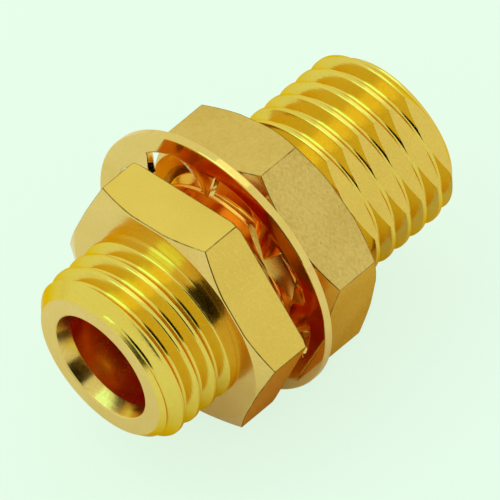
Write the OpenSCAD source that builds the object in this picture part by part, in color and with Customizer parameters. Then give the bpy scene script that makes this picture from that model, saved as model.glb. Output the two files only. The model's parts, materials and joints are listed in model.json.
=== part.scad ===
// Coaxial bulkhead adapter: a turned and threaded shell with a socket jack at each end, an integral
// hexagon, and a lock washer and nut that clamp it in a panel. Millimetres, axis along +Y, origin at the
// middle of the panel seat. Every piece is drawn upright on Z from the front face and then laid down.

/* [Shell] */
// Crest diameter of both threads
thread_d = 6.2; // [5.4:0.05:7]
// Thread length from the front face to the hexagon
front_thread_length = 2.9; // [2:0.05:6]
// Thread length from the panel seat to the rear face
rear_thread_length = 8.5; // [7:0.1:16]
// Lead chamfer at both ends
nose_chamfer = 0.5; // [0.2:0.05:0.8]
// Depth of the flat that stops the shell turning in its panel hole
flat_depth = 0.42; // [0.1:0.02:0.7]
// Turn of that flat about the axis, parallel to a face of the hexagon
flat_clock = -30; // [-180:5:180]

/* [Hexagon] */
// Width across the flats
hex_flats = 8; // [7.4:0.1:11]
// Thickness along the axis
hex_thickness = 1.8; // [1.2:0.1:4]
// Circle that the front chamfer leaves on the face
hex_front_circle = 8; // [7:0.1:11]
// Circle that the edge break leaves on the panel seat
hex_seat_circle = 8.9; // [8:0.1:12]
// Angle of the corner chamfers on the hexagon and the nut
chamfer_angle = 28; // [15:1:40]

/* [Jack] */
// Bore that takes the outer spring of the plug
bore_d = 3.62; // [3.3:0.02:4.2]
// Depth of the bore
jack_depth = 4.2; // [3:0.1:5]
// Mouth of the tapered lead-in
mouth_d = 3.96; // [3.7:0.02:4.6]
// Length of the tapered lead-in
lead_in = 0.52; // [0.2:0.02:0.8]
// Straight land between the lead-in and the snap groove
land_length = 1.3; // [0.2:0.05:1.6]
// Width of the snap groove
groove_width = 0.6; // [0.35:0.05:1]
// Depth of the snap groove
groove_depth = 0.16; // [0.04:0.02:0.28]

/* [Inner parts] */
// Bore between the two jacks that holds the insulators
insulator_d = 3; // [2.2:0.05:3.2]
// Diameter of the centre contact
contact_d = 1; // [0.8:0.05:1.2]
// Distance from a jack's face to the tip of the contact
contact_recess = 1.65; // [1.6:0.05:3]
// Collar that the two insulators trap
collar_d = 1.7; // [1.4:0.05:2]
// Length of the collar
collar_length = 0.6; // [0.3:0.05:1.2]
// Socket hole for the plug's pin
socket_d = 0.52; // [0.4:0.02:0.6]
// Depth of the socket hole
socket_depth = 2.2; // [1.2:0.1:2.6]
// Width of the slot that parts the socket into two tines
slot_width = 0.12; // [0.06:0.02:0.2]
// Length of that slot
slot_length = 1.8; // [0.8:0.1:2.4]

/* [Nut] */
// Width across the flats
nut_flats = 7.7; // [7.4:0.1:11]
// Thickness along the axis
nut_thickness = 2.2; // [1.4:0.1:4]
// Circle that the chamfers leave on both faces
nut_circle = 7.7; // [7.2:0.1:11]
// Countersink at both ends of the nut's bore
nut_countersink = 0.25; // [0.1:0.05:0.4]
// Turn of the nut about the axis
nut_clock = 50; // [0:1:59]

/* [Lock washer] */
// Outer diameter
washer_d = 9.7; // [9.3:0.1:14]
// Sheet thickness
washer_thickness = 0.3; // [0.2:0.02:0.5]
// Width of the plain ring outside the teeth
ring_width = 0.7; // [0.4:0.05:0.8]
// Number of teeth
tooth_count = 8; // [6:1:10]
// Width of a tooth
tooth_width = 1.75; // [1:0.05:2]
// Twist of a tooth at its tip
tooth_twist = 26; // [8:1:32]
// Radial play of the tooth tips on the thread
washer_play = 0.32; // [0.1:0.02:0.4]
// Lean of the loose washer on the thread
washer_lean = 3.6; // [0:0.1:4]
// Direction in which the washer leans towards the nut
lean_clock = -51; // [-180:1:180]
// Turn of the teeth about the washer's own axis
tooth_clock = 43; // [0:1:59]

/* [Fits] */
// Radial running clearance between nut and thread
nut_clearance = 0.05; // [0.02:0.01:0.1]
// Gap left where the loose washer bears on its neighbours
bearing_gap = 0.02; // [0.01:0.01:0.05]
// Radial gap round the insulators and the contact
insulator_gap = 0.02; // [0.01:0.01:0.05]

/* [Hidden] */
$fn = 96;

gold = [0.84, 0.70, 0.27];
pale_gold = [0.90, 0.78, 0.38];
fluoropolymer = [0.95, 0.95, 0.92];

// Overshoot that carries a cut clear of the surface it starts from
over = 1;
thread_r = thread_d / 2;
seat = front_thread_length + hex_thickness;
body_length = seat + rear_thread_length;
face_r = thread_r - nose_chamfer;

bore_r = bore_d / 2;
groove_start = lead_in + land_length;
groove_end = groove_start + groove_width;
insulator_length = body_length / 2 - jack_depth;

// Half the height of a twisted tooth, and how far the lean lifts its outer corner
tooth_half_height = tooth_width / 2 * sin(tooth_twist) + washer_thickness / 2 * cos(tooth_twist);
tip_r = thread_r + washer_play;
lean_rise = norm([tip_r, tooth_width / 2]) * sin(washer_lean);
// The nut stands where it just traps the leaning washer against the panel seat
nut_gap = 2 * (tooth_half_height + lean_rise + bearing_gap);
nut_start = seat + nut_gap;
washer_middle = seat + nut_gap / 2;
// The loose washer hangs with its tooth tips on one side of the thread
washer_drop = washer_play - bearing_gap;
ring_inner_r = washer_d / 2 - ring_width;
// Teeth spring from the chord where their full width meets the ring
root_chord = sqrt(pow(ring_inner_r, 2) - pow(tooth_width / 2, 2));
root_overlap = ring_width / 2;
tooth_slices = 8;

// Lays an upright piece along +Y with the panel seat at the origin
module lay() {
    translate([0, -seat, 0])
        rotate([-90, 0, 0])
            children();
}

// The same cut or piece at both ends, mirrored about the middle of the shell
module both_ends() {
    children();
    translate([0, 0, body_length])
        mirror([0, 0, 1])
            children();
}

// Hexagonal prism whose corners are chamfered down to a circle on each face
module chamfered_hexagon(flats, thickness, low_circle, high_circle) {
    corner_r = flats / 2 / cos(30);
    outer_r = corner_r + over;
    low_rise = (outer_r - low_circle / 2) * tan(chamfer_angle);
    high_rise = (outer_r - high_circle / 2) * tan(chamfer_angle);
    intersection() {
        cylinder(r = corner_r, h = thickness, $fn = 6);
        union() {
            cylinder(r1 = low_circle / 2, r2 = outer_r, h = low_rise);
            translate([0, 0, low_rise])
                cylinder(r = outer_r, h = thickness);
        }
        translate([0, 0, thickness])
            mirror([0, 0, 1])
                union() {
                    cylinder(r1 = high_circle / 2, r2 = outer_r, h = high_rise);
                    translate([0, 0, high_rise])
                        cylinder(r = outer_r, h = thickness);
                }
    }
}

// Stepped cut of one jack: tapered mouth, land, snap groove and plain bore
module jack_cut() {
    rotate_extrude()
        polygon([
            [0, -over],
            [mouth_d / 2, -over],
            [mouth_d / 2, 0],
            [bore_r, lead_in],
            [bore_r, groove_start],
            [bore_r + groove_depth, groove_start + groove_depth],
            [bore_r + groove_depth, groove_end - groove_depth],
            [bore_r, groove_end],
            [bore_r, jack_depth],
            [0, jack_depth]
        ]);
}

// Turned outside of the shell, at the crest diameter of its threads
module barrel() {
    rotate_extrude()
        polygon([
            [0, 0],
            [face_r, 0],
            [thread_r, nose_chamfer],
            [thread_r, body_length - nose_chamfer],
            [face_r, body_length],
            [0, body_length]
        ]);
}

module body_shell() {
    color(gold)
        lay()
            difference() {
                union() {
                    barrel();
                    translate([0, 0, front_thread_length])
                        chamfered_hexagon(hex_flats, hex_thickness, hex_front_circle, hex_seat_circle);
                }
                both_ends()
                    jack_cut();
                cylinder(d = insulator_d, h = body_length);
                rotate([0, 0, flat_clock])
                    translate([thread_r - flat_depth, -thread_r, seat])
                        cube([thread_r, thread_d, rear_thread_length + over]);
            }
}

module hex_nut() {
    nut_bore_r = thread_r + nut_clearance;
    sink_r = nut_bore_r + nut_countersink;
    color(gold)
        lay()
            translate([0, 0, nut_start])
                rotate([0, 0, nut_clock])
                    difference() {
                        chamfered_hexagon(nut_flats, nut_thickness, nut_circle, nut_circle);
                        rotate_extrude()
                            polygon([
                                [0, -over],
                                [sink_r, -over],
                                [sink_r, 0],
                                [nut_bore_r, nut_countersink],
                                [nut_bore_r, nut_thickness - nut_countersink],
                                [sink_r, nut_thickness],
                                [sink_r, nut_thickness + over],
                                [0, nut_thickness + over]
                            ]);
                    }
}

// One tooth along +X: a flat root in the ring, then a blade that twists as it runs inwards
module twisted_tooth() {
    translate([root_chord, -tooth_width / 2, -washer_thickness / 2])
        cube([ring_inner_r - root_chord + root_overlap, tooth_width, washer_thickness]);
    translate([root_chord, 0, 0])
        rotate([0, -90, 0])
            linear_extrude(
                height = root_chord - tip_r,
                twist = tooth_twist,
                slices = tooth_slices,
                segments = tooth_slices
            )
                square([washer_thickness, tooth_width], center = true);
}

module lock_washer() {
    color(pale_gold)
        lay()
            translate([0, 0, washer_middle])
                rotate([0, 0, lean_clock])
                    translate([0, -washer_drop, 0])
                        rotate([0, -washer_lean, 0])
                            rotate([0, 0, tooth_clock - lean_clock]) {
                                difference() {
                                    cylinder(d = washer_d, h = washer_thickness, center = true);
                                    cylinder(r = ring_inner_r, h = washer_thickness + over, center = true);
                                }
                                for (i = [0 : tooth_count - 1])
                                    rotate([0, 0, i * 360 / tooth_count])
                                        twisted_tooth();
                            }
}

// One insulator, with a pocket at its inner end for half of the contact's collar
module insulator() {
    inner_end = jack_depth + insulator_length;
    difference() {
        translate([0, 0, jack_depth])
            cylinder(d = insulator_d - 2 * insulator_gap, h = insulator_length);
        cylinder(d = contact_d + 2 * insulator_gap, h = body_length);
        translate([0, 0, inner_end - collar_length / 2 - insulator_gap])
            cylinder(d = collar_d + 2 * insulator_gap, h = collar_length);
    }
}

module front_insulator() {
    color(fluoropolymer)
        lay()
            insulator();
}

module rear_insulator() {
    color(fluoropolymer)
        lay()
            translate([0, 0, body_length])
                mirror([0, 0, 1])
                    insulator();
}

module centre_contact() {
    color(gold)
        lay()
            difference() {
                union() {
                    translate([0, 0, contact_recess])
                        cylinder(d = contact_d, h = body_length - 2 * contact_recess);
                    translate([0, 0, (body_length - collar_length) / 2])
                        cylinder(d = collar_d, h = collar_length);
                }
                both_ends() {
                    cylinder(d = socket_d, h = contact_recess + socket_depth);
                    translate([-contact_d, -slot_width / 2, 0])
                        cube([2 * contact_d, slot_width, contact_recess + slot_length]);
                }
            }
}

body_shell();
hex_nut();
lock_washer();
front_insulator();
rear_insulator();
centre_contact();
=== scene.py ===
# %% [markdown]
# # A gold-plated coaxial bulkhead adapter
#
# The part is small: 13.2 mm long, with a short thread and a jack at the front, a hexagon, a leaning lock
# washer, a loose nut and a long thread with a milled flat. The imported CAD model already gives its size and
# its three moving bodies. What it leaves out is what the eye looks for on a turned part: the helical
# threads, the tiny edge breaks that catch the light, and the plating itself. This lesson adds those.

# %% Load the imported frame
import json
import math

import bmesh
import bpy
from mathutils import Matrix, Quaternion, Vector


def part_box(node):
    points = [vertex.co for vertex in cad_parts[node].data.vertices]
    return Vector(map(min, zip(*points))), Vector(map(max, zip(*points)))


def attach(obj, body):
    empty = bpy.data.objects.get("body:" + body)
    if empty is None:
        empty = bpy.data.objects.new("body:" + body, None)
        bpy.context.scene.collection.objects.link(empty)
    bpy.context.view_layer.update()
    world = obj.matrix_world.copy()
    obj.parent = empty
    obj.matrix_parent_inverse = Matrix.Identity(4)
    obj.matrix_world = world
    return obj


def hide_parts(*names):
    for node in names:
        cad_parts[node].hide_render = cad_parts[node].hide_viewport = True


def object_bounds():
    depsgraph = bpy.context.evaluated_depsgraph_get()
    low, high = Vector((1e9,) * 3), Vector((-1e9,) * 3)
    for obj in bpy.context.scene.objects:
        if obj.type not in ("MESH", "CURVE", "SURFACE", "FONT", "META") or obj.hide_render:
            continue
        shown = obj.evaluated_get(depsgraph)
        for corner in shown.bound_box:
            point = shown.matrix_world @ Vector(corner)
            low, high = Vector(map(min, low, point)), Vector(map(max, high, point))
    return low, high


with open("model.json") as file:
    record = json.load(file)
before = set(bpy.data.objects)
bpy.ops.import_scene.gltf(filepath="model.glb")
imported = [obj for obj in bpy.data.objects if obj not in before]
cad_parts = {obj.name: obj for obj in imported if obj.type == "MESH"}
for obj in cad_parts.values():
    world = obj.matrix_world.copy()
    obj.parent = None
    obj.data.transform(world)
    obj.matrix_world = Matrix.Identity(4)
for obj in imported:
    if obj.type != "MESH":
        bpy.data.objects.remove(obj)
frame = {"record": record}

cad_low, cad_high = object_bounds()

# %% [markdown]
# ## Sizes
#
# Every size is in millimetres, as on a drawing, and a finished piece is scaled to metres in one place.
# What the frame can tell is asked of it: the boxes of the shell and the nut give their ends, and the mounts
# give the thread and the bores. A place on the part is told by three numbers: its distance along the axis
# from the front face, its radius, and its turn about the axis in degrees from +X towards +Z.

# %% Sizes in millimetres
MM = 0.001
mounts = {m["name"]: m["dims"] for m in frame["record"]["mounts"]}
shell_low, shell_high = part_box("body_shell")
nut_low, nut_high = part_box("hex_nut")
front_face = shell_low.y / MM
shell_length = (shell_high.y - shell_low.y) / MM
seat = -front_face
nut_gap = nut_low.y / MM
thread_r = mounts["front_thread"]["r_mm"]


def at(along, radius, turn):
    """The point at a distance along the axis, a radius and a turn about the axis."""
    angle = math.radians(turn)
    return Vector((radius * math.cos(angle), front_face + along, radius * math.sin(angle)))


print(f"shell {shell_length:.2f} mm long, thread radius {thread_r} mm, seat at {seat:.2f} mm")

# %% [markdown]
# ## Colours and nodes
#
# Colours are written as sRGB hex values, as a paint program shows them, and one function turns them into
# the linear values that shaders count in. Two more small functions start a material without nodes, and add
# one node with its settings and its links, so that a material reads from top to bottom as a list.


# %% Colour and node helpers
def linear(hex_colour):
    """Linear RGBA of an sRGB hex colour."""
    parts = [int(hex_colour[i : i + 2], 16) / 255 for i in (1, 3, 5)]
    return (*[p / 12.92 if p <= 0.04045 else ((p + 0.055) / 1.055) ** 2.4 for p in parts], 1.0)


def blank_material(name):
    """A material without nodes, and its node tree."""
    material = bpy.data.materials.new(name)
    material.use_nodes = True
    material.node_tree.nodes.clear()
    return material, material.node_tree


def add(tree, kind, settings=(), inputs=()):
    """One node, with its settings, and each input set to a value or linked to another node's socket."""
    node = tree.nodes.new(kind)
    for name, value in dict(settings).items():
        setattr(node, name, value)
    for name, value in dict(inputs).items():
        if isinstance(value, bpy.types.NodeSocket):
            tree.links.new(value, node.inputs[name])
        else:
            node.inputs[name].default_value = value
    return node


print("gold in linear light:", [round(c, 3) for c in linear("#EEC15F")[:3]])

# %% [markdown]
# ## Gold plating
#
# The shell, nut, washer and contact are copper alloys with a thin coat of gold. Gold reflects red and
# yellow almost whole and swallows blue, so between two gold faces each bounce turns the light redder: the
# deep orange in the washer's gap comes partly from that, and partly from a red painted onto the faces there
# as shade.
#
# One even colour would look like paint. So one function adds what a real coat has: a slow drift of colour
# where it is thinner, fine pits that move the colour, the height and the gloss, and the rings a tool leaves
# on faces square to the axis. A metal also has a second colour for glancing light, the shader's specular
# tint. On a thick clean coat that is nearly white, on an etched or thin one it stays warm, and this is what
# keeps a flat yellow when it is seen from the side.

# %% Gold plating
drift_size = 1.6
# Real pits and rings are mostly finer than a pixel: both are drawn as coarse as they need to show
ring_spacing = 0.06
ring_waver = 0.6
gloss_spread = 0.2
# A noise texture keeps mostly between the first two values, and the sum of two between the others
noise_low, noise_high = 0.3, 0.7
sum_low, sum_high = 0.75, 1.25
# Sockets of a Mix node for its two colours and its result
MIX_A, MIX_B, MIXED = 6, 7, 2
RINGS = {"wave_type": "RINGS", "rings_direction": "Y"}


def ring_scale(spacing):
    """Scale of a wave texture whose rings lie a distance in millimetres apart."""
    return math.pi / 10 / (spacing * MM)


def gold_plating(name, colour, thin_coat, grazing, roughness, pit_size, pit_depth, ring_depth, gap_red_paint=None):
    """Gold over a copper alloy, with its pit size and its depths in millimetres.

    The gap red, if given, is painted shade: a red colour, and the two distances behind the seat between
    which it fades out.
    """
    material, tree = blank_material(name)
    place = add(tree, "ShaderNodeTexCoord").outputs["Object"]
    slow = {"Vector": place, "Scale": 1 / (drift_size * MM), "Detail": 2.0}
    fine = {"Vector": place, "Scale": 1 / (pit_size * MM), "Detail": 3.0}
    drift = add(tree, "ShaderNodeTexNoise", {}, slow).outputs["Fac"]
    pits = add(tree, "ShaderNodeTexNoise", {}, fine).outputs["Fac"]
    both = add(tree, "ShaderNodeMath", {"operation": "ADD"}, {0: drift, 1: pits}).outputs[0]
    share = add(tree, "ShaderNodeMapRange", {}, {"Value": both, "From Min": sum_low, "From Max": sum_high})
    coats = {0: share.outputs["Result"], MIX_A: linear(colour), MIX_B: linear(thin_coat)}
    tone = add(tree, "ShaderNodeMix", {"data_type": "RGBA"}, coats)
    # Painted shade: a red that fades out along the axis behind the seat, for the light bounced in the gap
    if gap_red_paint:
        gap_red_colour, whole_to, gone_at = gap_red_paint
        along = add(tree, "ShaderNodeSeparateXYZ", {}, {"Vector": place}).outputs["Y"]
        ends = {"Value": along, "From Min": whole_to * MM, "From Max": gone_at * MM}
        fade = add(tree, "ShaderNodeMapRange", {"interpolation_type": "SMOOTHSTEP"}, ends)
        coats = {0: fade.outputs["Result"], MIX_A: linear(gap_red_colour), MIX_B: tone.outputs[MIXED]}
        tone = add(tree, "ShaderNodeMix", {"data_type": "RGBA"}, coats)
    spread = {
        "Value": pits,
        "From Min": noise_low,
        "From Max": noise_high,
        "To Min": roughness * (1 - gloss_spread),
        "To Max": roughness * (1 + gloss_spread),
    }
    gloss = add(tree, "ShaderNodeMapRange", {}, spread)
    tool_marks = {"Vector": place, "Scale": ring_scale(ring_spacing), "Distortion": ring_waver}
    rings = add(tree, "ShaderNodeTexWave", RINGS, tool_marks)
    dents = add(tree, "ShaderNodeBump", {}, {"Height": pits, "Distance": pit_depth * MM})
    relief = {
        "Height": rings.outputs["Fac"],
        "Distance": ring_depth * MM,
        "Normal": dents.outputs["Normal"],
    }
    grooves = add(tree, "ShaderNodeBump", {}, relief)
    gold = {
        "Base Color": tone.outputs[MIXED],
        "Metallic": 1.0,
        "Roughness": gloss.outputs["Result"],
        "Specular Tint": linear(grazing),
        "Normal": grooves.outputs["Normal"],
    }
    coat = add(tree, "ShaderNodeBsdfPrincipled", {}, gold)
    add(tree, "ShaderNodeOutputMaterial", {}, {"Surface": coat.outputs["BSDF"]})
    return material


print("tool rings lie", ring_spacing, "mm apart, and the colour drifts over", drift_size, "mm")

# %% [markdown]
# ## Gold finishes
#
# What differs from place to place is how the metal under the coat was made and how much gold the bath left
# on it. Turned threads are bright. The flats of the bar stock and of the nut are satin, with fine pits from
# etching before the bath. Faces turned square to the axis and the stamped washer are paler. Down a bore and
# in the gap a red is painted as shade, for the light that bounces between gold faces there, and a thin dark
# line painted along the rounded edges stands for the dark that they mirror. One material with masks could
# hold all of that, but with one material for each finish a face only has to name its own.

# %% Gold finishes
# Colours for glancing light: of a common coat, of an etched one, and of a thick clean one
warm, deep, pale = "#FFD27A", "#E89A3C", "#FFF6E4"
# Bright turned brass: clear reflections that run along the thread
bright = ("#EDCB5E", "#E8C456", warm, 0.17, 0.10, 0.0005, 0.0003)
bright_gold = gold_plating("bright_gold_plating", *bright)
# The rear thread is as bright, but a red of painted shade lies on it in the gap and a little way under the
# nut, for the light that bounces between gold faces there
gap_red_paint = ("#F0AA4C", nut_gap - 0.3, nut_gap + 0.5)
rear_gold_with_gap_red = gold_plating("bright_rear_gold_with_painted_gap_red", *bright, gap_red_paint)
# Etched bar stock: a soft even sheen with a fine grain
satin_gold = gold_plating("satin_bar_gold_plating", "#EFC360", "#E8BC59", deep, 0.32, 0.07, 0.0040, 0.0)
# The nut's etching is coarser, so its flats look sandy and a little duller
nut_gold = gold_plating("satin_nut_gold_plating", "#E4BA6C", "#D9AE5E", warm, 0.34, 0.12, 0.0200, 0.0)
# Down a bore: a redder colour, in patches, painted shade for the red of the light that bounces down the bore
bore_red_gold = gold_plating("bore_painted_red_gold_plating", "#F2973E", "#EA8C3A", warm, 0.25, 0.40, 0.0, 0.0)
# The two faces that look at each other across the gap: painted shade makes them a little red, for the light
# that bounces between them
gap_red_gold = gold_plating("gap_painted_red_gold_plating", "#F2A246", "#EA983E", warm, 0.22, 0.20, 0.0005, 0.0003)
# A face turned square to the axis: paler, with the tool's rings
faced_gold = gold_plating("faced_gold_plating", "#EEC777", "#E8BE68", pale, 0.20, 0.09, 0.0005, 0.0003)
# Painted shade on the rounded edges: a thin dark line runs along them, for the dark that they mirror
dark_edge_gold = gold_plating("painted_dark_edge_gold_plating", "#B8924C", "#5A3E16", warm, 0.30, 0.20, 0.0010, 0.0)
# Stamped spring bronze: pale and the smoothest of all, with bright sheared edges
washer_gold = gold_plating("stamped_gold_plating", "#EEC777", "#E8BE68", pale, 0.09, 0.09, 0.0005, 0.0)
print("gold finishes:", [m.name for m in bpy.data.materials if "gold" in m.name])

# %% [markdown]
# ## Fluoropolymer
#
# The two beads that hold the contact are turned from a white fluoropolymer. It is waxy: light goes a little
# way in and comes out again, and its low index keeps the shine weak. A plain white plastic would look chalky
# beside the gold, so the shader gets some subsurface light, and the lathe's fine rings as a bump.

# %% Fluoropolymer
mark_spacing = 0.05
mark_depth = 0.001
bead_white, tree = blank_material("turned_fluoropolymer")
place = add(tree, "ShaderNodeTexCoord").outputs["Object"]
marks = add(tree, "ShaderNodeTexWave", RINGS, {"Vector": place, "Scale": ring_scale(mark_spacing)})
relief = add(tree, "ShaderNodeBump", {}, {"Height": marks.outputs["Fac"], "Distance": mark_depth * MM})
wax = {
    "Base Color": linear("#F1F0E8"),
    "Roughness": 0.45,
    "IOR": 1.36,
    "Subsurface Weight": 0.35,
    "Subsurface Scale": 0.3 * MM,
    "Normal": relief.outputs["Normal"],
}
waxy = add(tree, "ShaderNodeBsdfPrincipled", {}, wax)
add(tree, "ShaderNodeOutputMaterial", {}, {"Surface": waxy.outputs["BSDF"]})
print("plastic:", bead_white.name)

# %% [markdown]
# ## From rows of points to closed solids
#
# Every piece here is a grid of points: rows that run round the axis, along a thread or along a tooth.
# Neighbouring points span a quad, points that coincide are merged, and the result is a closed solid. Such a
# grid keeps its edges where the maker's edges are, which a subdivided cylinder would not. Solids are then
# united and cut with Blender's manifold boolean, which keeps them closed. It also gives each face it makes
# the finish of the tool that cut it, so every plated solid carries the same finishes in the same order.

# %% Grids and solids
# Points closer than this, in millimetres, are one point
MERGE = 1e-5
# Painted shade among these: the red down a bore, the red in the gap, also on the rear thread, and the dark
# line along edges
FINISHES = (bright_gold, satin_gold, bore_red_gold, faced_gold, dark_edge_gold, gap_red_gold, rear_gold_with_gap_red)
BRIGHT, SATIN, BORE_RED, FACED, DARK_EDGE, GAP_RED, REAR = range(len(FINISHES))


def weave(rows, wrap_rows=True, wrap_points=False):
    """A bmesh of quads between neighbouring points and neighbouring rows, with doubles merged."""
    shape = bmesh.new()
    grid = [[shape.verts.new(p) for p in row] for row in rows]
    for here, there in zip(grid, grid[1:] + grid[:1] if wrap_rows else grid[1:]):
        for k in range(len(here) if wrap_points else len(here) - 1):
            j = (k + 1) % len(here)
            shape.faces.new((here[k], here[j], there[j], there[k]))
    bmesh.ops.remove_doubles(shape, verts=shape.verts, dist=MERGE)
    return shape


def solid(name, shape):
    """An object of the closed bmesh, still in millimetres, bright all over, the other finishes at hand."""
    bmesh.ops.recalc_face_normals(shape, faces=shape.faces)
    mesh = bpy.data.meshes.new(name)
    shape.to_mesh(mesh)
    shape.free()
    for material in FINISHES:
        mesh.materials.append(material)
    piece = bpy.data.objects.new(name, mesh)
    bpy.context.scene.collection.objects.link(piece)
    return piece


def combine(base, operation, *tools):
    """Unites, cuts or intersects a solid with others, which are used up."""
    for tool in tools:
        step = base.modifiers.new(operation.lower(), "BOOLEAN")
        step.operation, step.solver, step.object = operation, "MANIFOLD", tool
        made = base.evaluated_get(bpy.context.evaluated_depsgraph_get())
        mesh = bpy.data.meshes.new_from_object(made)
        base.modifiers.clear()
        base.data = mesh
        bpy.data.objects.remove(tool, do_unlink=True)
    return base


print("solids are closed grids, merged within", MERGE, "mm")

# %% [markdown]
# ## Rounded outlines
#
# No edge of a plated part is quite sharp, and its small radius is where the light catches. A Bevel modifier
# could round the edges, but after the cuts it would also find edges that no tool has made. So the corners
# are rounded in the outline, before it is turned. Beside each rounded edge lies a second row, a hundredth of
# a millimetre away: it holds the shading of the flat to the very edge. On polished metal a flat that shades
# as if it were curved mirrors the wrong things.

# %% Outlines
# Columns of points round the axis
COLUMNS = 128
# Distance of the second row from an arc, and the largest shares of a side that it and the arc may take
HOLD = 0.012
HOLD_SHARE = 0.04
ARC_SHARE = 0.45


def rounded(outline, radius, steps=3):
    """The outline with a small arc at each inner corner, and a point close before and after each arc."""
    points = [outline[0]]
    for before, corner, after in zip(outline, outline[1:], outline[2:]):
        b, c, a = Vector(before), Vector(corner), Vector(after)
        side = min((b - c).length, (a - c).length)
        turn = (c - b).angle(a - c, 0.0) if side > MERGE else 0.0
        reach = min(ARC_SHARE * side, radius * math.tan(turn / 2))
        hold = reach + min(HOLD_SHARE * side, HOLD)
        back, ahead = (b - c).normalized(), (a - c).normalized()
        points.append(tuple(c + back * hold))
        for k in range(steps + 1):
            s = k / steps
            points.append(tuple(c + back * reach * (1 - s) ** 2 + ahead * reach * s**2))
        points.append(tuple(c + ahead * hold))
    return points + [outline[-1]]


def turned(name, outline, columns=COLUMNS, shift=0.0):
    """A lathe piece from an outline of (radius, distance along the axis), its columns shifted by a share."""
    turns = [360 * (i + shift) / columns for i in range(columns)]
    return solid(name, weave([[at(u, r, turn) for r, u in outline] for turn in turns]))


print("second rows lie", HOLD, "mm from rounded edges")

# %% [markdown]
# ## Handing a piece over
#
# A finished solid is scaled to metres and shaded smooth between its crisp edges, while its satin flats
# shade as planes. Then it rides on the body that it moves with, and the CAD solid that it stands for is
# hidden. This could follow each piece, but in one function no piece misses a line of it.

# %% Handing over
CRISP = math.radians(35)


def finish_piece(piece, body, node):
    """Scales a solid to metres, smooths all but its crisp edges and flats, and rides it on its body."""
    piece.data.transform(Matrix.Scale(MM, 4))
    piece.data.shade_smooth()
    piece.data.set_sharp_from_angle(angle=CRISP)
    for face in piece.data.polygons:
        face.use_smooth = face.material_index != SATIN
    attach(piece, body)
    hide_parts(node)
    size = piece.dimensions / MM
    print(f"{piece.name}: {len(piece.data.polygons)} faces, {size.x:.2f} x {size.y:.2f} x {size.z:.2f} mm")


print(f"edges over {math.degrees(CRISP):.0f} degrees stay crisp")

# %% [markdown]
# ## The thread
#
# Both threads are right-handed, 36 to the inch. The flanks stand at 60 degrees to each other over a rounded
# root, a little less where the cut is deeper. The crest is a narrow flat with broken edges, which catches
# the light as a fine pale line. A plain zigzag would give sharp crests without that line, so one pitch is
# drawn as an outline of its own.

# %% Thread form
pitch = 25.4 / 36
flank = math.radians(30)
crest_half = pitch / 10
crest_round = 0.05
root_r = 0.11
root_steps = 4
# Depth of the sharp corner in which the flanks would meet, and of the rounded root
vertex = (pitch / 2 - crest_half) / math.tan(flank)
groove = vertex - root_r
# One pitch from crest to crest, as points of distance along the axis and depth below the crest
root_middle = vertex - root_r / math.sin(flank)
root_arc = []
for k in range(-root_steps, root_steps + 1):
    slope = (math.pi / 2 - flank) * k / root_steps
    root_arc.append((pitch / 2 + root_r * math.sin(slope), root_middle + root_r * math.cos(slope)))
crest_edge = rounded([(0, 0), (crest_half, 0), root_arc[0]], crest_round)
far_edge = [(pitch - across, depth) for across, depth in reversed(crest_edge[:-1])]
thread_form = crest_edge + root_arc[1:] + far_edge
print(f"pitch {pitch:.4f} mm, groove {groove:.3f} mm deep, root radius {root_r} mm")

# %% [markdown]
# A thread could be a Screw modifier on that outline, but its ends are then open. Here one strip, as wide as
# a pitch, winds round the axis: its last edge falls on its own first edge a turn later, so merging doubles
# welds it into a bar, and a fan to the axis closes each end.
#
# A die cannot cut right up to a shoulder. In less than a turn the groove gets shallower until only a faint
# ramp is left of it, and that winds on through the plain band before the hexagon.

# %% Threaded bar
columns_per_turn = 96
# The ramp that a groove leaves: its depth, the widths in which it falls and rises again, and its end
ramp_depth, ramp_fall, ramp_rise, ramp_end = 0.06, 0.04, 0.31, 0.42


def run_out(across):
    """Depth of the shallow ramp behind the last crest, at a distance from it."""
    falling = (across - crest_half) / ramp_fall
    rising = (ramp_end - across) / ramp_rise
    return ramp_depth * max(0, min(falling, rising))


def threaded_bar(name, crest, low, high, crest_r, cut=groove, fade=(math.inf, math.inf)):
    """A threaded bar that reaches past low and high, with a crest at a known place and turn.

    The groove is cut to a depth, and gets shallower between the two places of its fade.
    """
    crest_along, crest_turn = crest
    full_to, gone_at = fade
    start = crest_along - pitch * math.ceil((crest_along - low) / pitch + 2)
    steps = int((high - start + pitch) / pitch * columns_per_turn)
    rows = []
    for i in range(steps):
        turn = crest_turn - 360 * i / columns_per_turn
        base = start + pitch * i / columns_per_turn
        share = 1 if base < full_to else max(0, (gone_at - base) / (gone_at - full_to))
        row = []
        for across, depth in thread_form:
            inwards = depth * cut / groove * share + run_out(across) * (1 - share)
            row.append(at(base + across, crest_r - inwards, turn))
        rows.append(row)
    shape = weave(rows, wrap_rows=False)
    rim = [e for e in shape.edges if e.is_boundary]
    middle = sum(v.co.y for e in rim for v in e.verts) / len(rim) / 2
    for side in (-1, 1):
        ring = [e for e in rim if (e.verts[0].co.y - middle) * side > 0]
        hub = shape.verts.new((0, sum(e.verts[0].co.y for e in ring) / len(ring), 0))
        for edge in ring:
            shape.faces.new((*edge.verts, hub))
    return solid(name, shape)


print(f"{columns_per_turn} columns to a turn, {len(thread_form)} points across a pitch")

# %% [markdown]
# ## The hexagon
#
# A hexagon is turned from the same outline as a lathe piece, but its reach changes with the turn: the flat
# recedes from the corner. The corners are rounded by less than a tenth of a millimetre, and cones take them
# off down to a circle on each face. It could be a cylinder with six sides, cut by two cones. But as one
# function of the turn it gets all its rounded edges at once, and the shell and the nut share it.

# %% Hexagon
edge_round = 0.04
edge_break = 0.06
chamfer = math.radians(28)
flat_columns = 24


def from_corner(turn, corner_turn):
    """A turn counted from the nearest corner of a hexagon, in degrees."""
    return (turn - corner_turn + 30) % 60 - 30


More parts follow.
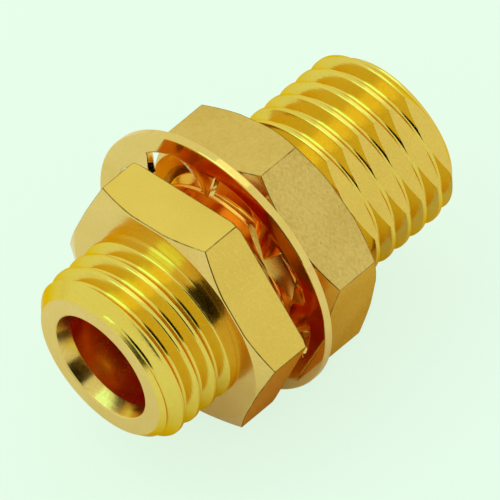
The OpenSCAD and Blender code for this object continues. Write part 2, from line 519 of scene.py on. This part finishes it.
def corner_arc(half):
    """The turn in degrees from the middle of a rounded corner to the flat."""
    return 30 - math.degrees(math.atan((half - edge_round) * math.tan(math.radians(30)) / half))


def hexagon(name, flats, corner_turn, low, high, low_circle, high_circle):
    """A hexagon with a corner at a known turn, chamfered down to a circle on each face."""
    half = flats / 2
    inner = (half - edge_round) / math.cos(math.radians(30))
    arc = corner_arc(half)
    hold = math.degrees(HOLD / half)
    offsets = [0, arc / 2, -arc / 2, arc, -arc, arc + hold, -arc - hold]
    offsets += [arc + (60 - 2 * arc) * k / flat_columns for k in range(1, flat_columns)]
    rows = []
    for turn in sorted(corner_turn + 60 * side + off for side in range(6) for off in offsets):
        off = from_corner(turn, corner_turn)
        slant = math.radians(off)
        if abs(off) < arc + MERGE:
            reach = inner * math.cos(slant) + math.sqrt(edge_round**2 - (inner * math.sin(slant)) ** 2)
        else:
            reach = half / math.cos(math.radians(30) - abs(slant))
        low_r = min(reach - edge_break, low_circle / 2)
        high_r = min(reach - edge_break, high_circle / 2)
        outline = [
            (0, low),
            (low_r, low),
            (reach, low + (reach - low_r) * math.tan(chamfer)),
            (reach, high - (reach - high_r) * math.tan(chamfer)),
            (high_r, high),
            (0, high),
        ]
        rows.append([at(u, r, turn) for r, u in rounded(outline, edge_round)])
    return solid(name, weave(rows))


print(f"edges of a hexagon are rounded by {edge_round} mm")

# %% [markdown]
# Each face of a hexagon then gets its finish by the way it looks: the flats, the two faces, the cones, and
# the narrow rounded edges between them, which get a painted dark line, for the dark that such edges mirror.
# Faces could be picked by hand in Edit Mode, but a rule serves both hexagons, and it still holds when a size
# changes.

# %% Finishes of a hexagon
# Play, along the axis, when a normal is matched with that of a square face, a cone or a flat
NEAR = 0.02


def plate_hexagon(piece, flats, corner_turn, on_flats, on_low_face, on_high_face):
    """Finishes of a hexagon's flats and two faces; its cones are paler, and its rounded edges get a painted
    dark line.
    """
    arc = corner_arc(flats / 2)
    for face in piece.data.polygons:
        off = from_corner(math.degrees(math.atan2(face.center.z, face.center.x)), corner_turn)
        square = abs(face.normal.y)
        if square > 1 - NEAR:
            face.material_index = on_low_face if face.normal.y < 0 else on_high_face
        elif square > math.cos(chamfer) - NEAR:
            face.material_index = FACED
        elif square < NEAR and abs(off) > arc:
            face.material_index = on_flats
        else:
            # A painted dark line along the rounded edges, for the dark that they mirror
            face.material_index = DARK_EDGE


print(f"a face is square within {math.degrees(math.acos(1 - NEAR)):.0f} degrees")

# %% [markdown]
# ## The shell
#
# On the real part the shell is one piece off a lathe: turned, threaded, milled with one flat, bored from
# both ends. It could be drawn as one mesh, but the maker's order keeps each cut simple, so the model follows
# it. First, two threaded bars are trimmed by the turned outline. They meet inside the hexagon.

# %% Threaded ends of the shell
# Bars and tools reach this far past what they cut
SPARE = 1.0
nose_chamfer = 0.5
nose_round = 0.06
face_r = thread_r - nose_chamfer
hex_start = 2.9
flat_depth = 0.42
# The rear grooves reach this far below the flat
crease = 0.007
# A place along the axis and a turn at which each thread has a crest, and where the front groove fades
front_crest = (1.19, 51.4)
rear_crest = (9.22, 60.4)
front_fade = (2.02, 2.49)
inside_hex = hex_start + 0.7
over_thread = thread_r + 0.1


def faced(trim):
    """Gives the ends of a turned outline the finish of a face square to the axis."""
    for face in trim.data.polygons:
        face.material_index = FACED if abs(face.normal.y) > 1 - NEAR else BRIGHT
    return trim


def finished(piece, finish):
    """Gives every face of a solid the same finish."""
    for face in piece.data.polygons:
        face.material_index = finish
    return piece


def mirrored(outline):
    """The same outline at the other end of the shell, from its last point to its first."""
    return [(r, shell_length - u) for r, u in reversed(outline)]


nose = [(0, 0), (face_r, 0), (thread_r, nose_chamfer), (over_thread, nose_chamfer)]
front_outline = nose + [(over_thread, inside_hex), (0, inside_hex)]
front_trim = faced(turned("front_trim", rounded(front_outline, nose_round)))
front_bar = threaded_bar("front_bar", front_crest, -SPARE, inside_hex + SPARE, thread_r, fade=front_fade)
front_bar = combine(front_bar, "INTERSECT", front_trim)

rear_outline = [(0, inside_hex), (over_thread, inside_hex)] + mirrored(nose)
rear_trim = faced(turned("rear_trim", rounded(rear_outline, nose_round)))
rear_cut = flat_depth + crease
rear_bar = threaded_bar("rear_bar", rear_crest, inside_hex - SPARE, shell_length + SPARE, thread_r, rear_cut)
# The rear thread's finish carries the red of painted shade in the gap
rear_bar = combine(finished(rear_bar, REAR), "INTERSECT", rear_trim)
print("threaded ends:", len(front_bar.data.polygons), "and", len(rear_bar.data.polygons), "faces")

# %% [markdown]
# Then the flat is milled into the rear thread. It is not quite as deep as the grooves, so each groove
# crosses it as a fine line and opens in a point on both sides. It could be drawn into the rows of the
# thread, but a cut with a block gives those points by itself, as the mill does, and leaves the flat as satin
# as the flats of the bar. Last, the hexagon joins the two ends.

# %% Flat and hexagon
flat_turn = 30
hex_flats = 8.0
hex_corner = 0
front_circle = 8.0
seat_circle = 8.9
# The mill starts at the seat and reaches past the rear end
mill_size = Vector((4, 20, 10))


def block(name, size):
    """A box with its middle at the origin, as a tool."""
    shape = bmesh.new()
    bmesh.ops.create_cube(shape, size=1, matrix=Matrix.Diagonal((*size, 1)))
    return solid(name, shape)


mill = finished(block("mill", mill_size), SATIN)
mill.data.transform(
    Matrix.Rotation(math.radians(-flat_turn), 4, "Y")
    @ Matrix.Translation((thread_r - flat_depth + mill_size.x / 2, mill_size.y / 2, 0))
)
rear_bar = combine(rear_bar, "DIFFERENCE", mill)

shell = hexagon("shell", hex_flats, hex_corner, hex_start, seat, front_circle, seat_circle)
# The seat face, which looks at the washer across the gap, gets the red of painted shade
plate_hexagon(shell, hex_flats, hex_corner, SATIN, FACED, GAP_RED)
shell = combine(shell, "UNION", front_bar, rear_bar)
print("shell outside:", len(shell.data.polygons), "faces")

# %% [markdown]
# Both jacks have a taper that leads the plug in, a short land, the snap groove and a plain bore. A smaller
# bore between them holds the beads. One turned tool cuts it all, from end to end. Its columns are shifted
# by half a step against those of the shell, because edges that fall on each other would leave slivers. The
# tool carries the finish that it leaves: down the bore a red of painted shade, for the light that bounces
# down it, and on the tapers at the mouths the paler one of the front face.

# %% Shell bores
jack_r = mounts["front_jack"]["r_mm"]
jack_land = mounts["front_jack"]["length_mm"]
mouth_r = 1.98
mouth_break = 0.03
lead_in = 0.52
snap_width = 0.6
snap_depth = 0.16
jack_depth = 4.2
bead_bore_r = 1.5
bore_round = 0.03
snap = lead_in + jack_land
half_bore = [
    (0, -SPARE),
    (mouth_r + mouth_break, -SPARE),
    (mouth_r + mouth_break, 0),
    (mouth_r - mouth_break / 2, mouth_break),
    (jack_r, lead_in),
    (jack_r, snap),
    (jack_r + snap_depth, snap + snap_depth),
    (jack_r + snap_depth, snap + snap_width - snap_depth),
    (jack_r, snap + snap_width),
    (jack_r, jack_depth),
    (bead_bore_r, jack_depth),
]
bore_tool = turned("bore_tool", rounded(half_bore + mirrored(half_bore), bore_round), shift=0.5)
# Down the bore the red of painted shade, on the tapers at the mouths the paler face finish
for face in bore_tool.data.polygons:
    along = face.center.y - front_face
    face.material_index = BORE_RED if lead_in < along < shell_length - lead_in else FACED
shell = combine(shell, "DIFFERENCE", bore_tool)
finish_piece(shell, "shell", "body_shell")

# %% [markdown]
# ## The nut
#
# The nut is another hexagon, threaded inside. Its thread could be wound as a strip too, but then it would
# have to be welded to the countersinks. Instead a threaded bar is taken away from the inside. It is a
# clearance larger than the shell's and has its crests where those of the rear thread are, so the two stay in
# step however far the nut is turned.

# %% Nut
nut_flats = 7.7
nut_corner = 10
nut_start = seat + nut_gap
nut_end = seat + nut_high.y / MM
nut_clearance = 0.05
sink_width = 0.25
nut_thread_r = thread_r + nut_clearance
sink_r = nut_thread_r + sink_width
minor_r = nut_thread_r - groove
before_nut = nut_start - SPARE
sink_end = nut_start + sink_r - minor_r
sink_outline = [(0, before_nut), (sink_r + SPARE, before_nut), (minor_r, sink_end), (0, sink_end)]
nut = hexagon("nut", nut_flats, nut_corner, nut_start, nut_end, nut_flats, nut_flats)
# The nut's face towards the washer gets the red of painted shade
plate_hexagon(nut, nut_flats, nut_corner, BRIGHT, GAP_RED, FACED)
nut_bore = threaded_bar("nut_bore", rear_crest, before_nut, nut_end + SPARE, nut_thread_r)
near_sink = turned("near_sink", sink_outline)
far_sink = turned("far_sink", [(r, nut_start + nut_end - u) for r, u in sink_outline])
nut = combine(nut, "DIFFERENCE", nut_bore, near_sink, far_sink)
# The nut was etched by itself, so its flats and its thread are sandy instead of bright
nut.data.materials[BRIGHT] = nut_gold
finish_piece(nut, "nut", "hex_nut")

# %% [markdown]
# ## The lock washer
#
# A lock washer is stamped from sheet, and the shears leave its edges a little round. It could be cut out of
# a flat sheet and bent by a modifier, but its edges would then be sharp. So its ring is a rounded rectangle
# that is led once round the axis.

# %% Washer ring
ring_r = 4.85
ring_inner_r = 4.15
ring_mid = (ring_r + ring_inner_r) / 2
sheet = 0.3
sheared = 0.045


def section(width):
    """Points of a strip of the sheet with rounded edges, from the middle of one side all the way round."""
    w, t = width / 2, sheet / 2
    loop = [(0, -t), (w, -t), (w, t), (-w, t), (-w, -t), (0, -t)]
    return rounded(loop, sheared, 2)[:-1]


ring_section = section(ring_r - ring_inner_r)
ring_rows = []
for i in range(COLUMNS):
    angle = math.tau * i / COLUMNS
    spoke = Vector((math.cos(angle), math.sin(angle), 0))
    ring_rows.append([spoke * (ring_mid + across) + Vector((0, 0, up)) for across, up in ring_section])
washer = solid("washer", weave(ring_rows, wrap_points=True))
print("washer ring:", len(washer.data.polygons), "faces")

# %% [markdown]
# Its inner teeth are twisted so that each bites with two corners. A twist modifier would do, but a tooth is
# easier to understand as a stack of sections: a rounded rectangle that turns as it moves inwards. Eight such
# stacks are united with the ring.

# %% Washer teeth
tooth_count = 8
tooth_width = 1.75
tooth_twist = -26
tooth_tip_r = 3.42
tooth_root_r = math.sqrt(ring_inner_r**2 - (tooth_width / 2) ** 2)
tooth_length = tooth_root_r - tooth_tip_r
tooth_steps = 8
# Sections of a tooth by distance from the axis, and their size: both ends close to a point
stations = [(ring_mid, 0.0), (ring_mid, 1.0)]
stations += [(tooth_root_r - tooth_length * k / tooth_steps, 1.0) for k in range(tooth_steps + 1)]
stations += [(tooth_tip_r, 0.0)]
for tooth in range(tooth_count):
    spin = Matrix.Rotation(math.tau * tooth / tooth_count, 4, "Z")
    rows = []
    for reach, grow in stations:
        twist = math.radians(tooth_twist) * max(0, (tooth_root_r - reach) / tooth_length)
        row = []
        for across, up in section(tooth_width):
            y = (across * math.cos(twist) - up * math.sin(twist)) * grow
            z = (across * math.sin(twist) + up * math.cos(twist)) * grow
            row.append(spin @ Vector((reach, y, z)))
        rows.append(row)
    washer = combine(washer, "UNION", solid("tooth", weave(rows, wrap_rows=False, wrap_points=True)))
print("washer with teeth:", len(washer.data.polygons), "faces")

# %% [markdown]
# Nothing clamps the washer on the real part, so it leans, and it hangs on the thread. It could be moved and
# turned as an object, but its mesh is moved instead, so that all pieces keep one origin, on the seat. The
# steps are read from the last line up: the turn of the teeth, the lean, the drop, the direction of both, the
# place in the gap, and the turn onto the axis.

# %% Washer in place
lean, lean_clock, tooth_clock, drop = 3.6, -51, 43, 0.30
washer.data.transform(
    Matrix.Rotation(math.radians(-90), 4, "X")
    @ Matrix.Translation((0, 0, nut_gap / 2))
    @ Matrix.Rotation(math.radians(lean_clock), 4, "Z")
    @ Matrix.Translation((0, -drop, 0))
    @ Matrix.Rotation(math.radians(-lean), 4, "Y")
    @ Matrix.Rotation(math.radians(tooth_clock - lean_clock), 4, "Z")
)
washer.data.materials[BRIGHT] = washer_gold
finish_piece(washer, "washer", "lock_washer")

# %% [markdown]
# ## Inside the jack
#
# The contact is a double-ended socket with two tines at each end, held by its collar between two beads. It
# sits too deep to show in the photograph's view, but it is what one sees on looking into either jack. It
# could be left as the CAD solid, but that has fewer facets than a shiny round pin needs, so it is turned
# from its outline again, and a saw cut makes the tines.

# %% Contact
socket_r = mounts["front_socket"]["r_mm"]
socket_depth = mounts["front_socket"]["length_mm"]
contact_r = 0.5
contact_recess = 1.65
contact_chamfer = 0.08
contact_columns = 64
collar_r = 0.85
collar_half = 0.3
slot_width = 0.12
slot_length = 1.8
slot_over = 0.01
half_length = shell_length / 2
chamfer_end = contact_recess + contact_chamfer
half_contact = [
    (0, contact_recess + socket_depth),
    (socket_r, contact_recess + socket_depth),
    (socket_r, chamfer_end),
    (socket_r + contact_chamfer, contact_recess),
    (contact_r - contact_chamfer, contact_recess),
    (contact_r, chamfer_end),
    (contact_r, half_length - collar_half),
    (collar_r, half_length - collar_half),
]
contact = turned("contact", half_contact + mirrored(half_contact), contact_columns)
slot_middle = contact_recess + slot_length / 2
for along in (slot_middle, shell_length - slot_middle):
    saw = block("saw", (4 * contact_r, slot_length + slot_over, slot_width))
    saw.data.transform(Matrix.Translation((0, front_face + along, 0)))
    contact = combine(contact, "DIFFERENCE", saw)
finish_piece(contact, "shell", "centre_contact")

# %% [markdown]
# The beads fill the middle bore from both ends, and each has a pocket for half of the collar. One outline
# serves for both, because the rear bead is the front one turned round. It starts and ends in the wall of the
# hole, so that all of its corners lie inside the outline and get rounded.

# %% Beads
bead_gap = 0.02
bead_round = 0.05
bead_columns = 96
bead_r = bead_bore_r - bead_gap
hole_r = contact_r + bead_gap
pocket_r = collar_r + bead_gap
pocket_end = half_length - collar_half - bead_gap
in_the_hole = jack_depth + 0.8
bead_outline = [
    (hole_r, in_the_hole),
    (hole_r, jack_depth),
    (bead_r, jack_depth),
    (bead_r, half_length),
    (pocket_r, half_length),
    (pocket_r, pocket_end),
    (hole_r, pocket_end),
    (hole_r, in_the_hole),
]
front_bead = rounded(bead_outline, bead_round)
for node, outline in (("front_insulator", front_bead), ("rear_insulator", mirrored(front_bead))):
    bead = turned(node.replace("insulator", "bead"), outline, bead_columns)
    bead.data.materials.clear()
    bead.data.materials.append(bead_white)
    finish_piece(bead, "shell", node)

# %% [markdown]
# ## Floor
#
# The photograph has a pale green-white ground without a line between floor and wall. A floor that only
# reflects light would come out greyer than the wall. So the floor is matt paper, and to the lens most of its
# brightness is its own: it stays as pale as the ground and still keeps a soft shadow. The metal sees it
# mainly by the light that falls on it, with the part's shadow on it, which makes the undersides deep orange.

# %% Floor
CORNERS = ((-1, -1), (1, -1), (1, 1), (-1, 1))
floor_half = 1000
floor_z = cad_low.z
glow_to_lens = 0.85
glow_to_metal = 0.1


def own_glow(tree, to_lens, to_metal):
    """A share for rays from the lens, another for rays off metal or through glass, and 0 for all others."""
    ray = add(tree, "ShaderNodeLightPath").outputs
    times, most = {"operation": "MULTIPLY"}, {"operation": "MAXIMUM"}
    seen = add(tree, "ShaderNodeMath", times, {0: ray["Is Camera Ray"], 1: to_lens})
    bent = add(tree, "ShaderNodeMath", most, {0: ray["Is Glossy Ray"], 1: ray["Is Transmission Ray"]})
    reflected = add(tree, "ShaderNodeMath", times, {0: bent.outputs[0], 1: to_metal})
    return add(tree, "ShaderNodeMath", most, {0: seen.outputs[0], 1: reflected.outputs[0]}).outputs[0]


paper, tree = blank_material("matt_paper")
matt = add(tree, "ShaderNodeBsdfDiffuse", {}, {"Color": linear("#EFFBEF")})
glow = add(tree, "ShaderNodeEmission", {}, {"Color": linear("#E7FEE9")})
share = own_glow(tree, glow_to_lens, glow_to_metal)
paper_mix = add(tree, "ShaderNodeMixShader", {}, {0: share, 1: matt.outputs[0], 2: glow.outputs[0]})
add(tree, "ShaderNodeOutputMaterial", {}, {"Surface": paper_mix.outputs[0]})

floor_mesh = bpy.data.meshes.new("floor")
floor_corners = [(x * floor_half * MM, y * floor_half * MM, floor_z) for x, y in CORNERS]
floor_mesh.from_pydata(floor_corners, [], [range(len(CORNERS))])
floor_mesh.materials.append(paper)
floor = bpy.data.objects.new("floor", floor_mesh)
bpy.context.scene.collection.objects.link(floor)
print(f"floor at {floor_z / MM:.2f} mm")

# %% [markdown]
# ## Surround
#
# Gold mirrors what is round it, and on the real part that is the same pale ground. A backdrop would show an
# edge somewhere in the metal, so the world itself is the ground, for the camera and for reflections, at a
# strength of 1. For all else it is a plain, slightly weaker light.

# %% Surround
ground = "#ECFFEC"
world = bpy.data.worlds.new("pale_surround")
bpy.context.scene.world = world
world.use_nodes = True
tree = world.node_tree
tree.nodes.clear()
light = add(tree, "ShaderNodeBackground", {}, {"Color": linear("#FFF8FF"), "Strength": 0.9})
wall = add(tree, "ShaderNodeBackground", {}, {"Color": linear(ground), "Strength": 1.0})
share = own_glow(tree, 1.0, 1.0)
surround = add(tree, "ShaderNodeMixShader", {}, {0: share, 1: light.outputs[0], 2: wall.outputs[0]})
add(tree, "ShaderNodeOutputWorld", {}, {"Surface": surround.outputs[0]})
print("ground:", ground)

# %% [markdown]
# ## Softboxes
#
# A plated part shows its surroundings more than its own colour, so where a lamp stands matters more than how
# bright it is. A stand is named by its turn about the part's axis and by how far it leans to the front. Two
# softboxes hang overhead: a cool one towards the front, whose reflection is the lemon yellow stripe on the
# front thread, and a dimmer one behind it, which does the same for the rear thread and for the nut.


# %% Softboxes
def stand_at(turn, lean):
    """Three directions of a stand at a turn and lean: sideways, along, and from the part to the stand."""
    angle, tip = math.radians(turn), math.radians(lean)
    facing = Vector((math.cos(tip) * math.cos(angle), -math.sin(tip), math.cos(tip) * math.sin(angle)))
    side = Vector((0, 1, 0)).cross(facing).normalized()
    return side, facing.cross(side), facing


def softbox(name, turn, lean, distance, across, along, brightness, colour):
    """A lamp that faces the part, sizes in millimetres; a brightness of 1 is as bright as white paper."""
    side, up, facing = stand_at(turn, lean)
    lamp = bpy.data.lights.new(name, "AREA")
    lamp.shape = "RECTANGLE"
    lamp.size, lamp.size_y = across * MM, along * MM
    lamp.energy = brightness * math.pi * lamp.size * lamp.size_y
    lamp.color = linear(colour)[:3]
    stand = bpy.data.objects.new(name, lamp)
    bpy.context.scene.collection.objects.link(stand)
    stand.location = facing * distance * MM
    stand.rotation_mode = "QUATERNION"
    stand.rotation_quaternion = Matrix((side, up, facing)).transposed().to_quaternion()
    stand.visible_camera = False
    print(f"{name}: {across} x {along} mm at {distance} mm, {lamp.energy:.3f} W")


softbox(
    "front_softbox", turn=104, lean=15, distance=160, across=104, along=176, brightness=1.0, colour="#84FFE8"
)
softbox(
    "rear_softbox", turn=95, lean=-27, distance=160, across=80, along=90, brightness=0.5, colour="#E0FFF0"
)

# %% [markdown]
# ## Camera
#
# The photograph's lines hardly converge, so the camera stands 600 mm away, with a lens so long that its
# field is only 15.7 mm wide. Direction and roll are those at which the hexagons' corners, the mouth and the
# rear end of the model fall on the ones in the photograph.

# %% Camera
azimuth, elevation, roll = 53.28, 45.08, -11.64
field = 15.747
distance = 600
target = Vector((0.1156, 1.89, -0.0924))
around, rise = math.radians(azimuth), math.radians(elevation)
back = Vector((math.sin(around) * math.cos(rise), -math.cos(around) * math.cos(rise), math.sin(rise)))
lens = bpy.data.cameras.new("camera")
lens.sensor_width = 36
lens.lens = lens.sensor_width * distance / field
lens.clip_start, lens.clip_end = 50 * MM, 3000 * MM
camera = bpy.data.objects.new("camera", lens)
bpy.context.scene.collection.objects.link(camera)
camera.location = (target + back * distance) * MM
camera.rotation_mode = "QUATERNION"
camera.rotation_quaternion = back.to_track_quat("Z", "Y") @ Quaternion((0, 0, 1), math.radians(roll))
bpy.context.scene.camera = camera
print(f"camera: {lens.lens:.0f} mm lens at {distance} mm")

# %% [markdown]
# ## A dark card
#
# Polished metal looks like metal only where it also mirrors something dark. In the photograph there is a
# dark patch at the end of the front thread and another in the mouth of the jack, and both mirror one
# direction, beside the camera. They could be painted on, but would then stay put as the part turns. So a
# card of black felt stands in that direction. The lens does not see it, and it takes no light from the
# floor.

# %% Dark card
card_turn, card_lean = 31, 31
card_width, card_height, card_distance = 116, 200, 130
felt, tree = blank_material("black_felt")
soak = add(tree, "ShaderNodeBsdfDiffuse", {}, {"Color": linear("#100C08")})
add(tree, "ShaderNodeOutputMaterial", {}, {"Surface": soak.outputs["BSDF"]})

side, up, facing = stand_at(card_turn, card_lean)
card_corners = []
for x, y in CORNERS:
    corner = facing * card_distance + side * x * card_width / 2 + up * y * card_height / 2
    card_corners.append(corner * MM)
card_mesh = bpy.data.meshes.new("dark_card")
card_mesh.from_pydata(card_corners, [], [range(len(CORNERS))])
card_mesh.materials.append(felt)
card = bpy.data.objects.new("dark_card", card_mesh)
bpy.context.scene.collection.objects.link(card)
card.visible_camera = False
card.visible_shadow = False
card.visible_diffuse = False
print("the dark card faces the part from", [round(v, 2) for v in facing])

# %% [markdown]
# ## View
#
# The Standard view shows each colour as the material gives it. Light in the washer's gap bounces between
# gold faces many times, so more bounces are allowed than usual.

# %% View settings
bpy.context.scene.view_settings.view_transform = "Standard"
bpy.context.scene.cycles.glossy_bounces = 12
